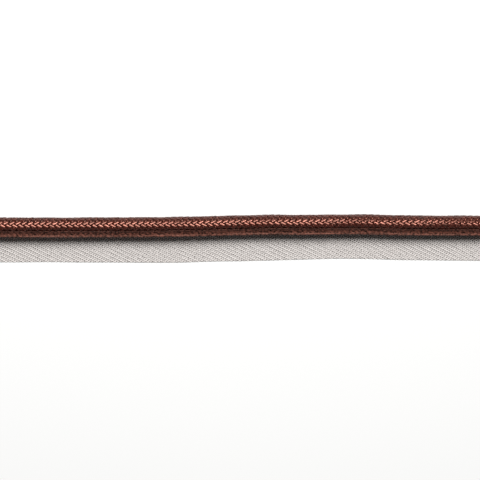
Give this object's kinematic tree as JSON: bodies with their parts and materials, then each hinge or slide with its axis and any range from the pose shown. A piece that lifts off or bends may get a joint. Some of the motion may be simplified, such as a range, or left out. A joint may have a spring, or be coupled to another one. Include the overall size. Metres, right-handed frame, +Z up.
{
  "type": "silk lip cord",
  "caption": "Round plaited silk cord with a smooth, folded satin edge, sewn along a flat twill tape that forms the lip for a seam.",
  "frame": {"origin": "on the table under the middle of the whole length's box", "axes": "+X along the cord, +Z up from the table, the lip's free edge toward -Y"},
  "size_m": [0.16, 0.0152, 0.0068],
  "materials": {
    "tape_cotton": "pale warm grey cotton twill, matt",
    "cord_silk": "plaited copper brown silk with a bright sheen",
    "edge_silk": "smooth reddish brown silk satin"
  },
  "bodies": {
    "root": {"lip_tape": "tape_cotton", "braided_cord": "cord_silk", "satin_edge": "edge_silk"}
  },
  "joints": []
}
